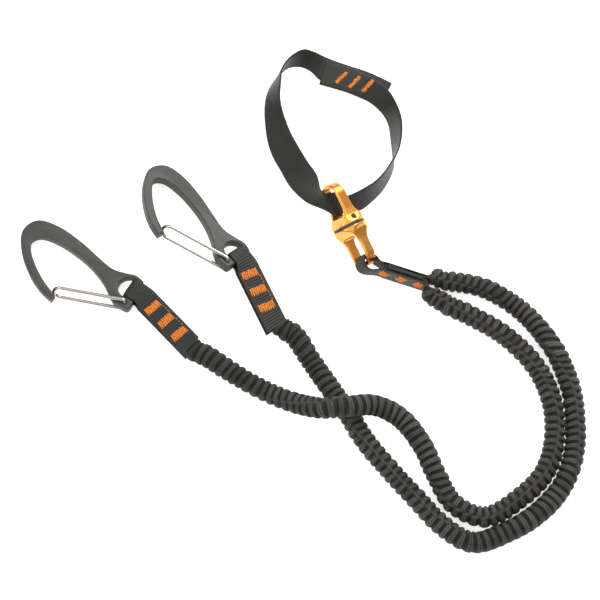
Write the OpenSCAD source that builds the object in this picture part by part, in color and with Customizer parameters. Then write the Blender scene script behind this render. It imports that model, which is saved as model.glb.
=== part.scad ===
// Twin-arm elastic tether. Two flat wire-gate clips hang on sewn webbing tabs, two gathered
// elastic arms run from the tabs to a junction tab, and the junction tab holds a two-part
// swivel whose other eye carries a sewn webbing sling. The object lies on the plane z = 0,
// with the arms laid out in their relaxed curves and the left arm crossing over the right.

/* [Elastic arms] */
// Outer diameter of the gathered sleeve
sleeve_d = 13.6; // [13:0.1:13.8]
// Wall of the gathered sleeve
sleeve_wall = 1.9; // [1.6:0.1:2.2]
// Diameter of the elastic core inside the sleeve
core_d = 8.6; // [7:0.1:8.8]

/* [Webbing] */
// Width of the tab webbing
tab_w = 16; // [15:0.5:17]
// Width of the tab webbing where it passes through a clip's slot
tab_slot_w = 14.2; // [13:0.1:14.4]
// Thickness of one layer of webbing
web_t = 1.3; // [1:0.1:1.5]
// Length of a clip tab from its bar to its sewn end
tab_length = 58; // [54:1:60]
// Length of the junction tab from the swivel bar to its sewn end
junction_length = 40; // [38:1:41]
// Half of the gap that a tab's two layers leave for the sewn-in sleeve
sewn_half_gap = 2.0; // [1.9:0.05:2.2]
// Thickness of the sling webbing
sling_t = 1.4; // [1:0.1:1.5]

/* [Bar tacks] */
// Length of a bar tack along the webbing
tack_length = 5.4; // [4:0.1:7]
// Length of a bar tack across the webbing
tack_across = 11.5; // [9:0.5:13]
// Distance from one bar tack to the next
tack_pitch = 13; // [11:0.5:14]
// Slant of the bar tacks on the junction tab and the sling
tack_slant = 21; // [0:1:30]
// Length of a bar tack along the sling
sling_tack_length = 2.6; // [2:0.1:4]
// Distance from one bar tack to the next on the sling
sling_tack_pitch = 10; // [8:0.5:12]

/* [Clips] */
// Thickness of a clip's flat body
clip_t = 6.6; // [6:0.1:6.8]
// Diameter of the gate wire
wire_d = 2.4; // [2:0.1:2.5]
// Length of the gate from its pivot to the end of its bend
gate_length = 49; // [48:0.5:49.5]
// Diameter of the bar that carries the tab
bar_d = 5.8; // [5:0.1:6]
// Radial clearance of the gate's ends in their bore
pivot_clearance = 0.05; // [0.02:0.01:0.1]

/* [Swivel] */
// Diameter of the swivel at its seam
seam_d = 23.5; // [22.5:0.5:24.5]
// Width of each eye across the flat of its legs
eye_w = 7.6; // [7:0.1:8]
// Height of the sling's eye from the seam to its tip
upper_height = 31.4; // [30.8:0.2:32]
// Height of the junction tab's eye from the seam to its tip
lower_height = 30; // [29.4:0.2:31]
// Diameter of the spindle
spindle_d = 4; // [3:0.1:4.4]
// Diameter of the spindle's head
spindle_head_d = 5.6; // [5:0.1:6]
// Diameter of the cross pin
cross_pin_d = 3.2; // [2.6:0.1:3.4]

/* [Hidden] */

// The layout's own centre is brought to the frame's origin by this shift.
frame_shift = [1, -4, 0];

// Routes: x, y, z, half width, half height, roll of the wide side from level.
sleeve_r = sleeve_d / 2;
flat_w = 6.3;
flat_h = sewn_half_gap - 0.1;
pair_h = sewn_half_gap / 2 - 0.1;
left_route = [
    [-48.5, -74.5, 5.6, flat_w, flat_h, 0], [-22.5, -103.5, 6.1, flat_w, flat_h, 0],
    [-12, -110, 6.9, sleeve_r, sleeve_r, 0], [6.3, -122.3, 6.9, sleeve_r, sleeve_r, 0],
    [26.2, -134, 7, sleeve_r, sleeve_r, 0], [45.1, -143, 9.5, sleeve_r, sleeve_r, 0],
    [63, -149.5, 17, sleeve_r, sleeve_r, 0], [81, -150, 22, sleeve_r, sleeve_r, 0],
    [99.4, -147.4, 16, sleeve_r, sleeve_r, 0], [116.8, -154.2, 9, sleeve_r, sleeve_r, 0],
    [130.3, -171.5, 7, sleeve_r, sleeve_r, 0], [139.3, -192.4, 7, sleeve_r, sleeve_r, 0],
    [150.6, -212.2, 7.5, sleeve_r, sleeve_r, 0], [171, -220.8, 8.5, sleeve_r, sleeve_r, 0],
    [193.6, -208, 9.5, sleeve_r, sleeve_r, 0], [210.2, -190.6, 10, sleeve_r, sleeve_r, 0],
    [217.4, -167.5, 10, sleeve_r, sleeve_r, 0], [216.4, -141.3, 10, sleeve_r, sleeve_r, 0],
    [206, -116.5, 9.5, sleeve_r, sleeve_r, 0], [187, -95.5, 8.5, sleeve_r, sleeve_r, 0],
    [164, -80.5, 7.2, sleeve_r, sleeve_r, 30], [146.5, -71.5, 7.2, sleeve_r, sleeve_r, 60],
    [133.5, -58.4, 8.2, flat_w, pair_h, 90], [109.2, -49.4, 8.4, flat_w, pair_h, 90]];
right_route = [
    [18, -54.5, 8.2, flat_w, flat_h, -16], [35.5, -86.5, 7.4, flat_w, flat_h, -10],
    [46.6, -95.2, 6.9, sleeve_r, sleeve_r, 0], [56.8, -112, 6.9, sleeve_r, sleeve_r, 0],
    [69.4, -131.2, 6.9, sleeve_r, sleeve_r, 0], [81.5, -149.5, 6.9, sleeve_r, sleeve_r, 0],
    [93, -169, 6.9, sleeve_r, sleeve_r, 0], [109, -189, 6.9, sleeve_r, sleeve_r, 0],
    [126.5, -209, 6.9, sleeve_r, sleeve_r, 0], [142.5, -226.5, 6.9, sleeve_r, sleeve_r, 0],
    [161.5, -237.5, 6.9, sleeve_r, sleeve_r, 0], [182.6, -231.3, 6.9, sleeve_r, sleeve_r, 0],
    [203.4, -219.1, 6.9, sleeve_r, sleeve_r, 0], [220.7, -200.7, 6.9, sleeve_r, sleeve_r, 0],
    [230, -177.6, 6.9, sleeve_r, sleeve_r, 0], [231.9, -153, 6.9, sleeve_r, sleeve_r, 0],
    [229, -128.2, 6.9, sleeve_r, sleeve_r, 0], [218.8, -102.4, 6.9, sleeve_r, sleeve_r, 0],
    [200.1, -78.1, 6.9, sleeve_r, sleeve_r, 0], [176.4, -61.7, 6.9, sleeve_r, sleeve_r, 30],
    [151, -56, 7.2, sleeve_r, sleeve_r, 60],
    [134.2, -56.4, 8.2, flat_w, pair_h, 90], [109.8, -47.6, 8.4, flat_w, pair_h, 90]];

// The sling's two edges, station by station: the edge that is raised on the left of the
// loop and outermost on its far side, then the other edge.
sling_edges = [
    [[115, 97, 1], [107, 80, 1]], [[99, 105.5, 1], [91.5, 88.5, 1]],
    [[84, 111, 1], [77, 93.5, 1]], [[70, 116.3, 1.8], [65, 98.5, 1.2]],
    [[60, 117.5, 9.5], [57.5, 106, 1.2]], [[52, 116.6, 14.5], [50, 109.6, 1]],
    [[43, 109, 17.5], [41.3, 108.6, 1]], [[37.5, 99.5, 18], [34.5, 102, 1]],
    [[36.5, 90, 16], [29, 94, 1]], [[36, 81.5, 12], [26, 85.5, 1]],
    [[37.5, 73, 9], [25, 75.5, 1]], [[40, 65, 7.5], [25.5, 65, 1]],
    [[43.5, 56, 6.5], [27, 53, 1]], [[48.5, 45.5, 7.5], [30.5, 40.5, 1.5]],
    [[55, 32, 11], [36.5, 28, 3]], [[60.5, 19, 16], [43.5, 13.5, 7]],
    [[62.1, 5.2, 23.1], [54, -0.5, 14]], [[64.4, 1.6, 28.5], [64.8, -7.9, 19.1]],
    [[68, -0.1, 27.8], [75.3, -13.9, 21.2]],
    [[75.1, 2.7, 23.8], [81.2, -9.2, 17.4]], [[80.6, 0.4, 22.9], [86.7, -6.5, 12.8]],
    [[86, 2.5, 21.5], [92.5, -3.5, 8]], [[94, 7.5, 20], [100, 4, 5.5]],
    [[101.5, 13, 19], [106.5, 12.5, 2.5]], [[107.5, 19.5, 19], [112, 22.5, 1]],
    [[112.5, 27, 19], [115, 32, 1]], [[118, 37.5, 18], [114.5, 42, 1]],
    [[120.5, 49.5, 17], [113.5, 53, 1]], [[120.5, 62, 16], [112, 64, 1]],
    [[117.5, 74.5, 13.5], [107.5, 73, 1.5]], [[112.5, 86.5, 9.5], [99.5, 80.5, 2.6]],
    [[104, 97, 5.5], [91, 85, 3]], [[92.5, 104.5, 3.4], [82, 89, 2.9]],
    [[80.5, 109.5, 2.9], [73, 92, 2.9]], [[69.5, 113, 2.9], [63.5, 95, 2.9]]];

// Outline of a clip, seen with the tab to the right and the gate below. The bar's centre
// is at the origin. The outer run goes from the nose round to the bar, the inner run back.
clip_outer = [[-43.5, -35.5], [-54, -33], [-66.5, -26.6], [-80.5, -15], [-88.5, -1.5],
              [-84, 10.5], [-69, 14], [-50, 12], [-33, 8], [-21, 5.6], [-12, 7.2],
              [-4, 9.5], [2.5, 8.2]];
clip_heel = [[4.6, -10], [4.6, -13.6], [2.6, -15.6], [-7.5, -15.4]];
clip_inner = [[-11, -12.9], [-20, -6.5], [-33, -0.9], [-47, 2.3], [-62, 3.5], [-74.5, 1.7],
              [-79.2, -4], [-76, -10.5], [-66.5, -19], [-55, -26.2], [-43.3, -31]];
slot_centre = [-3.4, -0.6];
slot_r = 7.6;
gate_pivot = [0, -11.8];
gate_heading = 199.5;
gate_twist = 13;
leg_spacing = 10;
notch_r = 1.6;

// Where each clip lies: bar centre, heading of its long axis, how far the gate side lifts.
left_bar = [-62.5, -62.3, 5.2];
left_heading = -30;
left_lift = 4.6;
left_end = left_bar + tab_length * unit([40.3, -41.7, 1.1]);
left_end_roll = 2;
right_bar = [7.8, -37.8, 8.5];
right_heading = -46;
right_lift = 22;
right_end = right_bar + tab_length * unit([26.2, -51.8, -1.1]);
right_end_roll = 10;

// The swivel: seam centre, direction of its axis, and how each eye is turned about it.
seam_centre = [83.3, -20.2, 18.6];
axis_heading = 117.5;
axis_rise = 18.8;
lower_roll = 26;
upper_roll = 24;
seam_gap = 1.6;
dome_height = 7.5;
eye_tip_r = 9.2;
leg_wall = 2.4;
tip_wall = 3.4;
corner_r = 3.2;
junction_bar_w = 11.5;
pin_height = 4.6;
pin_half_length = 9.6;

web_colour = [0.20, 0.20, 0.18];
sleeve_colour = [0.23, 0.23, 0.21];
thread_colour = [0.93, 0.45, 0.12];
clip_colour = [0.33, 0.33, 0.32];
wire_colour = [0.80, 0.79, 0.76];
swivel_colour = [0.94, 0.58, 0.14];

// Vector helpers.
function unit(v) = v / norm(v);
function mix(a, b, t) = a + (b - a) * t;
function ramp(t) = let(c = min(max(t, 0), 1)) c * c * (3 - 2 * c);
function pick(list, i) = list[min(max(i, 0), len(list) - 1)];
function flatten(lists) = [for (l = lists) each l];

// A smooth curve through the points, with some steps to each stretch. It takes points of
// any number of values.
function curve_at(p, i, t) =
    let(a = pick(p, i - 1), b = pick(p, i), c = pick(p, i + 1), d = pick(p, i + 2))
    0.5 * (2 * b + (c - a) * t + (2 * a - 5 * b + 4 * c - d) * t * t
           + (3 * b - a - 3 * c + d) * t * t * t);
function curve(p, steps) =
    [for (i = [0:len(p) - 2], k = [0:steps - 1]) curve_at(p, i, k / steps), p[len(p) - 1]];

// Directions along a list of points.
function along(p, i) = unit(pick(p, i + 1) - pick(p, i - 1));

// Axes of a clip and of a swivel eye, as three unit vectors.
function clip_axes(heading, lift) =
    let(side = [-sin(heading), cos(heading), 0], up = [0, 0, 1])
    [[cos(heading), sin(heading), 0], cos(lift) * side - sin(lift) * up,
     sin(lift) * side + cos(lift) * up];
swivel_axis = [cos(axis_rise) * cos(axis_heading), cos(axis_rise) * sin(axis_heading),
               sin(axis_rise)];
function bar_axis(roll) =
    let(up = [-sin(axis_rise) * cos(axis_heading), -sin(axis_rise) * sin(axis_heading),
              cos(axis_rise)])
    cos(roll) * up + sin(roll) * cross(swivel_axis, up);
lower_bar = seam_centre - (lower_height - tip_wall / 2) * swivel_axis;
junction_end = lower_bar + junction_length * unit([38.2, -13.5, -1.3]);

// Puts its children in a frame given by an origin, an X direction and a Z direction.
module placed(origin, x_dir, z_dir) {
    y_dir = cross(z_dir, x_dir);
    multmatrix([[x_dir.x, y_dir.x, z_dir.x, origin.x], [x_dir.y, y_dir.y, z_dir.y, origin.y],
                [x_dir.z, y_dir.z, z_dir.z, origin.z], [0, 0, 0, 1]]) children();
}

module on_frame() {
    translate(frame_shift) children();
}

// Side faces of a skin over rings of m points, and the two end faces.
function skin_faces(n, m, start, flip) =
    [for (i = [0:n - 2], j = [0:m - 1])
        let(a = start + i * m + j, b = start + i * m + (j + 1) % m, c = a + m, d = b + m)
        each flip ? [[a, b, d], [a, d, c]] : [[a, d, b], [a, c, d]]];

// A solid lofted through rings of points.
module loft(rings) {
    n = len(rings);
    m = len(rings[0]);
    caps = [[for (j = [0:m - 1]) j], [for (j = [0:m - 1]) n * m - 1 - j]];
    polyhedron(flatten(rings), concat(skin_faces(n, m, 0, false), caps), convexity = 10);
}

// A tube lofted through outer and inner rings of points, open at both ends.
module hollow_loft(outer, inner) {
    n = len(outer);
    m = len(outer[0]);
    k = n * m;
    last = (n - 1) * m;
    first_rim = [for (j = [0:m - 1]) let(e = (j + 1) % m)
        each [[j, e, k + e], [j, k + e, k + j]]];
    last_rim = [for (j = [0:m - 1]) let(a = last + j, b = last + (j + 1) % m)
        each [[a, k + b, b], [a, k + a, k + b]]];
    polyhedron(concat(flatten(outer), flatten(inner)),
               concat(skin_faces(n, m, 0, false), skin_faces(n, m, k, true),
                      first_rim, last_rim), convexity = 10);
}

// Rings of a cord along a route, each made narrower than the route's row by an inset.
function cord_rings(route, inset, flat_inset, sides) =
    let(p = [for (r = route) [r[0], r[1], r[2]]])
    [for (i = [0:len(route) - 1])
        let(t = along(p, i), s = unit(cross([0, 0, 1], t)), u = cross(t, s), roll = route[i][5],
            wide = cos(roll) * s + sin(roll) * u, thin = cross(t, wide),
            cut = route[i][3] == route[i][4] ? inset : flat_inset,
            a = route[i][3] - cut, b = route[i][4] - cut)
        [for (j = [0:sides - 1]) let(q = 360 * j / sides) p[i] + a * cos(q) * wide
            + b * sin(q) * thin]];

module sleeve(route) {
    on_frame() color(sleeve_colour)
        hollow_loft(cord_rings(route, 0, 0, 12), cord_rings(route, sleeve_wall, 0.6, 12));
}

module elastic_core(route) {
    inset = (sleeve_d - core_d) / 2;
    body = [for (i = [2:len(route) - 3]) route[i]];
    on_frame() color("dimgray") loft(cord_rings(body, inset, inset, 10));
}

// A strip of webbing through stations of [centre, half width vector, half thickness vector].
module strip(stations) {
    loft([for (s = stations) [s[0] + s[1] - s[2], s[0] - s[1] - s[2],
                              s[0] - s[1] + s[2], s[0] + s[1] + s[2]]]);
}

// A tab of webbing that loops round a bar and comes back on itself, with both layers held
// apart by what is sewn between them. axes are the bar's frame: X along the tab as it
// leaves the bar, Y along the bar. The width opens from slot_w at the bar to the full width,
// and the tab turns towards its end at the knee.
module looped_tab(bar, axes, end, end_wide, loop_r, slot_w, knee) {
    corner = bar + axes[0] * knee;
    dir = unit(end - corner);
    length = knee + norm(end - corner);
    bend = min(knee, 3);
    steps = 16;
    turn = 10;
    offset_end = sewn_half_gap + web_t / 2;
    function centre_at(s) =
        let(t = min(max((s - knee + bend) / (2 * bend), 0), 1))
        s < knee - bend ? bar + axes[0] * s
        : s > knee + bend ? corner + dir * (s - knee)
        : corner - axes[0] * bend * (1 - t) * (1 - t) + dir * bend * t * t;
    function turned(s) = ramp((s - knee + bend) / 12);
    function wide_at(s) = unit(mix(axes[1], end_wide, turned(s)));
    function normal_at(s) = unit(mix(axes[2], cross(dir, end_wide), turned(s)));
    function half_w_at(s) = mix(slot_w, tab_w, ramp((s - loop_r - 1) / 7)) / 2;
    function layer(s, sign) =
        let(n = normal_at(s), off = mix(loop_r, offset_end, ramp(s / 16)))
        [centre_at(s) + sign * off * n, wide_at(s) * half_w_at(s), sign * n * web_t / 2];
    function round_bar(q) =
        let(out = cos(q) * axes[2] - sin(q) * axes[0])
        [bar + loop_r * out, axes[1] * slot_w / 2, out * web_t / 2];
    far_side = [for (k = [steps:-1:1]) layer(length * k / steps, 1)];
    loop = [for (k = [0:turn]) round_bar(180 * k / turn)];
    near_side = [for (k = [1:steps]) layer(length * k / steps, -1)];
    on_frame() color(web_colour) strip(concat(far_side, loop, near_side));
}

// A row of bar tacks through both layers of a tab. Each is a low block of thread that
// stands a little proud of both faces.
module tack_row(start, dir, wide, first, depth, slant, size = tack_length,
                pitch = tack_pitch) {
    normal = cross(dir, wide);
    on_frame() color(thread_colour)
        for (k = [0:2])
            placed(start + dir * (first + k * pitch), dir, normal)
                rotate([0, 0, slant])
                    cube([size, tack_across, depth], center = true);
}

// Flat body of a clip with its slot, its round bar and the bore for the gate.
module clip_body(bar, heading, lift) {
    axes = clip_axes(heading, lift);
    outline = concat(curve(clip_outer, 5), [[bar_d / 2, slot_centre.y]], clip_heel,
                     curve(clip_inner, 5));
    tip = gate_pivot + gate_length * [cos(gate_heading), sin(gate_heading)];
    on_frame() color(clip_colour) placed(bar, axes[0], axes[2]) {
        difference() {
            linear_extrude(clip_t, center = true) polygon(outline);
            translate([slot_centre.x, slot_centre.y, 0])
                cylinder(h = 2 * clip_t, r = slot_r, center = true, $fn = 64);
            translate([slot_centre.x, slot_centre.y - slot_r, -clip_t])
                cube([slot_r + 2, 2 * slot_r, 2 * clip_t]);
            translate([gate_pivot.x, gate_pivot.y, 0])
                cylinder(h = 2 * clip_t, r = wire_d / 2 + pivot_clearance, center = true,
                         $fn = 48);
            translate([tip.x, tip.y, 0])
                cylinder(h = 2 * clip_t, r = notch_r, center = true, $fn = 32);
        }
        translate([0, slot_centre.y, 0]) rotate([90, 0, 0])
            cylinder(h = 2 * slot_r + 1.6, r = bar_d / 2, center = true, $fn = 48);
    }
}

// Bent-wire gate: two legs, a half-round bend at the nose, and two ends that turn inward
// into the bore.
module clip_gate(bar, heading, lift) {
    axes = clip_axes(heading, lift);
    half = leg_spacing / 2;
    wire_r = wire_d / 2;
    run = gate_length - half;
    pin_top = half * cos(gate_twist) + wire_r * 0.75;
    on_frame() color(wire_colour) placed(bar, axes[0], axes[2])
        translate([gate_pivot.x, gate_pivot.y, 0]) rotate([0, 0, gate_heading]) {
            rotate([gate_twist, 0, 0]) {
                for (side = [-1, 1])
                    translate([0, 0, side * half]) {
                        sphere(r = wire_r, $fn = 32);
                        rotate([0, 90, 0]) cylinder(h = run, r = wire_r, $fn = 32);
                    }
                translate([run, 0, 0]) rotate([90, 0, 0]) rotate([0, 0, -90])
                    rotate_extrude(angle = 180, $fn = 64)
                        translate([half, 0]) circle(r = wire_r, $fn = 32);
            }
            for (side = [-1, 1])
                translate([0, 0, side * (pin_top + 0.6) / 2])
                    cylinder(h = pin_top - 0.6, r = wire_r, center = true, $fn = 32);
        }
}

// Outline of an eye's legs and rounded tip, standing on the seam, with its opening.
module eye_outline(height) {
    rim_r = seam_d / 2;
    tip_z = height - eye_tip_r;
    hole_w = eye_tip_r - leg_wall;
    hole_top = height - tip_wall;
    difference() {
        union() {
            polygon([[-rim_r, 0], [rim_r, 0], [rim_r - 0.3, 1.8], [rim_r - 1.5, 4.2],
                     [eye_tip_r + 0.4, 7], [eye_tip_r, 11], [eye_tip_r, tip_z],
                     [-eye_tip_r, tip_z], [-eye_tip_r, 11], [-eye_tip_r - 0.4, 7],
                     [1.5 - rim_r, 4.2], [0.3 - rim_r, 1.8]]);
            translate([0, tip_z]) circle(r = eye_tip_r, $fn = 64);
        }
        polygon([[-hole_w, hole_top - corner_r], [-hole_w, dome_height + 2],
                 [1.8 - hole_w, dome_height], [hole_w - 1.8, dome_height],
                 [hole_w, dome_height + 2], [hole_w, hole_top - corner_r],
                 [hole_w - corner_r, hole_top], [corner_r - hole_w, hole_top]]);
        for (side = [-1, 1])
            translate([side * (hole_w - corner_r), hole_top - corner_r])
                circle(r = corner_r, $fn = 48);
    }
}

// Half of the outline across an eye: it flares from the flat of the legs to the seam.
function flare_side() =
    [[seam_d / 2, 0], [seam_d / 2 - 0.9, 1.8], [8.9, 3.4], [7.2, 5.2], [5.7, 7.4],
     [4.6, 9.8], [eye_w / 2, 12.8]];

// Half of the swivel: a round seam that flows into a flat eye.
module eye_blank(height) {
    side = flare_side();
    last = len(side) - 1;
    mirrored = [for (i = [last:-1:0]) [-side[i].x, side[i].y]];
    top = [[eye_w / 2, height + 1], [-eye_w / 2, height + 1]];
    intersection() {
        translate([0, 0, seam_gap / 2]) cylinder(h = height, r = seam_d / 2, $fn = 96);
        rotate([90, 0, 0]) linear_extrude(seam_d + 2, center = true) eye_outline(height);
        rotate([90, 0, 90]) linear_extrude(seam_d + 2, center = true)
            polygon(concat(side, top, mirrored));
    }
}

module swivel_lower_eye() {
    on_frame() color(swivel_colour) placed(seam_centre, bar_axis(lower_roll), -swivel_axis)
        difference() {
            eye_blank(lower_height);
            cylinder(h = 3 * dome_height, r = spindle_d / 2 + 0.05, center = true, $fn = 48);
        }
}

module swivel_upper_eye() {
    on_frame() color(swivel_colour) placed(seam_centre, bar_axis(upper_roll), swivel_axis)
        difference() {
            eye_blank(upper_height);
            cylinder(h = dome_height - 0.9, r = spindle_d / 2, $fn = 48);
            translate([0, 0, pin_height]) rotate([0, 90, 0])
                cylinder(h = seam_d + 2, r = cross_pin_d / 2, center = true, $fn = 48);
        }
}

// Headed spindle that turns in the lower half and is held in the upper half by the pin.
module swivel_spindle() {
    head_z = -dome_height - 0.1;
    on_frame() color(wire_colour) placed(seam_centre, bar_axis(upper_roll), swivel_axis)
        difference() {
            union() {
                translate([0, 0, head_z])
                    cylinder(h = dome_height - 0.9 - head_z, r = spindle_d / 2, $fn = 48);
                rotate_extrude($fn = 48)
                    polygon([[0, head_z], [spindle_head_d / 2, head_z],
                             [spindle_head_d / 2, head_z - 0.8],
                             [spindle_head_d / 2 - 0.9, head_z - 1.6], [0, head_z - 1.9]]);
            }
            translate([0, 0, pin_height]) rotate([0, 90, 0])
                cylinder(h = 2 * spindle_d, r = cross_pin_d / 2, center = true, $fn = 48);
        }
}

module swivel_cross_pin() {
    on_frame() color("gray") placed(seam_centre, bar_axis(upper_roll), swivel_axis)
        translate([0, 0, pin_height]) rotate([0, 90, 0])
            cylinder(h = 2 * pin_half_length, r = cross_pin_d / 2, center = true, $fn = 48);
}

// Flat ring between the two halves, resting on the lower one.
module seam_ring(inner_r, outer_r) {
    placed(seam_centre, bar_axis(lower_roll), swivel_axis)
        translate([0, 0, -seam_gap / 2])
            difference() {
                cylinder(h = seam_gap - 0.1, r = outer_r, $fn = 96);
                translate([0, 0, -1]) cylinder(h = seam_gap + 2, r = inner_r, $fn = 64);
            }
}

module swivel_seal_ring() {
    on_frame() color([0.25, 0.25, 0.26]) seam_ring(8.4, seam_d / 2 - 0.35);
}

module swivel_thrust_washer() {
    on_frame() color("silver") seam_ring(spindle_d / 2 + 0.1, 7.4);
}

// The sling: one length of webbing laid round in a loop, its ends lapped over each other.
module anchor_sling() {
    rows = curve([for (e = sling_edges) concat(e[0], e[1])], 2);
    raised = [for (r = rows) [r[0], r[1], r[2]]];
    other = [for (r = rows) [r[3], r[4], r[5]]];
    middle = (raised + other) / 2;
    on_frame() color(web_colour)
        strip([for (i = [0:len(rows) - 1])
            let(w = (raised[i] - other[i]) / 2, n = unit(cross(along(middle, i), unit(w))))
            [middle[i], w, n * sling_t / 2]]);
}

module sling_stitching() {
    lap_start = [74.5, 101.8, 1.95];
    lap_dir = unit([20.5, -8, 0]);
    tack_row(lap_start, lap_dir, [-lap_dir.y, lap_dir.x, 0], 5, 2 * sling_t + 1.1,
             -tack_slant, sling_tack_length, sling_tack_pitch);
}

function end_wide(bar, end, roll) =
    let(d = unit(end - bar), s = unit(cross([0, 0, 1], d)))
    cos(roll) * s - sin(roll) * cross(d, s);

module clip_tab(bar, heading, lift, end, roll) {
    axes = clip_axes(heading, lift);
    looped_tab(bar + slot_centre.y * axes[1], axes, end, end_wide(bar, end, roll),
               bar_d / 2 + 0.4 + web_t / 2, tab_slot_w, 6);
}

module clip_tab_stitching(bar, end, roll, first) {
    tack_row(bar, unit(end - bar), end_wide(bar, end, roll), first,
             2 * (sewn_half_gap + web_t) + 1, 0);
}

module junction_tab() {
    away = unit(junction_end - lower_bar);
    bar_dir = bar_axis(lower_roll);
    first = unit(away - (away * bar_dir) * bar_dir);
    looped_tab(lower_bar, [first, bar_dir, cross(first, bar_dir)], junction_end, [0, 0, 1],
               eye_w / 2 + 1.4 + web_t / 2, junction_bar_w, 3);
}

module junction_stitching() {
    dir = unit(junction_end - lower_bar);
    level = unit([dir.x, dir.y, 0]);
    tack_row(lower_bar, level, [0, 0, 1], 13.5, 2 * (sewn_half_gap + web_t) + 1,
             tack_slant);
}

module left_clip_body() { clip_body(left_bar, left_heading, left_lift); }
module right_clip_body() { clip_body(right_bar, right_heading, right_lift); }
module left_clip_gate() { clip_gate(left_bar, left_heading, left_lift); }
module right_clip_gate() { clip_gate(right_bar, right_heading, right_lift); }
module left_tab() { clip_tab(left_bar, left_heading, left_lift, left_end, left_end_roll); }
module right_tab() {
    clip_tab(right_bar, right_heading, right_lift, right_end, right_end_roll);
}
module left_tab_stitching() { clip_tab_stitching(left_bar, left_end, left_end_roll, 19); }
module right_tab_stitching() {
    clip_tab_stitching(right_bar, right_end, right_end_roll, 16.7);
}
module left_sleeve() { sleeve(left_route); }
module right_sleeve() { sleeve(right_route); }
module left_elastic_core() { elastic_core(left_route); }
module right_elastic_core() { elastic_core(right_route); }

left_clip_body();
left_clip_gate();
right_clip_body();
right_clip_gate();
left_tab();
left_tab_stitching();
right_tab();
right_tab_stitching();
left_sleeve();
right_sleeve();
left_elastic_core();
right_elastic_core();
junction_tab();
junction_stitching();
swivel_lower_eye();
swivel_upper_eye();
swivel_spindle();
swivel_cross_pin();
swivel_seal_ring();
swivel_thrust_washer();
anchor_sling();
sling_stitching();
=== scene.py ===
import math
import bmesh
import bpy
import numpy as np
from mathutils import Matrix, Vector
from mathutils.bvhtree import BVHTree


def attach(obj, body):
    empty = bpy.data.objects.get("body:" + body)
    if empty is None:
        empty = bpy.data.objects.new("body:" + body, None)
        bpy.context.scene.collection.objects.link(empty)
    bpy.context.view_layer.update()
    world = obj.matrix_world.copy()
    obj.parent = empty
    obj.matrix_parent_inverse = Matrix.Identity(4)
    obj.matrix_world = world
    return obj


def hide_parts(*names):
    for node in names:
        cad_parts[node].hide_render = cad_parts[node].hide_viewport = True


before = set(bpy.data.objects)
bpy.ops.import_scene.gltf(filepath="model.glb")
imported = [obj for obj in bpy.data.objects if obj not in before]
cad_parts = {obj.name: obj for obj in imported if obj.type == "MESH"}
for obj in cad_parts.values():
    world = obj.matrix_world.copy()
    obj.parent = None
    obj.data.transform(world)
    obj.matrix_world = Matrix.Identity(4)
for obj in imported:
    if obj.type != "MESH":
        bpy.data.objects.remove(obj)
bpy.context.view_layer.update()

# The object's sizes below are millimetres in the layout's own axes, and SHIFT brings them to
# the frame. The camera, the lights and the floor are in the frame's metres.
MM = 0.001
SHIFT = np.array([1.0, -4.0, 0.0])

# ---------- camera
CAMERA_TARGET = Vector((0.051, -0.074, 0.008))
CAMERA_DISTANCE = 1.4
CAMERA_ELEVATION = math.radians(69.0)
CAMERA_LENS = 124.4


def aim(obj, target):
    """Turns a camera or a light towards a point."""
    direction = Vector(target) - obj.location
    obj.rotation_euler = direction.to_track_quat("-Z", "Y").to_euler()


def new_object(name, data):
    obj = bpy.data.objects.new(name, data)
    bpy.context.scene.collection.objects.link(obj)
    return obj


def make_camera():
    data = bpy.data.cameras.new("camera")
    data.sensor_width = 36.0
    data.lens = CAMERA_LENS
    data.clip_start = 0.05
    data.clip_end = 20.0
    cam = new_object("camera", data)
    back = Vector((0.0, -math.cos(CAMERA_ELEVATION), math.sin(CAMERA_ELEVATION)))
    cam.location = CAMERA_TARGET + CAMERA_DISTANCE * back
    aim(cam, CAMERA_TARGET)
    bpy.context.scene.camera = cam


make_camera()


# ---------- vectors and curves
def unit(v):
    v = np.asarray(v, float)
    return v / np.linalg.norm(v, axis=-1, keepdims=True)


def cosd(a):
    return math.cos(math.radians(a))


def sind(a):
    return math.sin(math.radians(a))


def ramp(t):
    """A smooth step from 0 to 1."""
    t = np.clip(t, 0.0, 1.0)
    return t * t * (3 - 2 * t)


def spline(points, steps):
    """A smooth curve through the points, with that many steps to each stretch."""
    p = np.asarray(points, float)
    p = np.vstack([p[:1], p, p[-1:]])
    t = (np.arange(steps) / steps)[:, None]
    out = []
    for i in range(len(p) - 3):
        a, b, c, d = p[i:i + 4]
        out.append(0.5 * (2 * b + (c - a) * t + (2 * a - 5 * b + 4 * c - d) * t ** 2
                          + (3 * b - a - 3 * c + d) * t ** 3))
    return np.vstack(out + [p[-2:-1]])


def lengths(points):
    steps = np.linalg.norm(np.diff(points[:, :3], axis=0), axis=1)
    return np.concatenate([[0.0], np.cumsum(steps)])


def resample(rows, step):
    """The rows at even steps of the length along their first three columns."""
    s = lengths(rows)
    n = max(2, int(round(s[-1] / step)) + 1)
    at = np.linspace(0.0, s[-1], n)
    cols = [np.interp(at, s, rows[:, k]) for k in range(rows.shape[1])]
    return np.stack(cols, axis=1), at


def directions(points):
    d = np.empty_like(points)
    d[1:-1] = points[2:] - points[:-2]
    d[0] = points[1] - points[0]
    d[-1] = points[-1] - points[-2]
    return unit(d)


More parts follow.
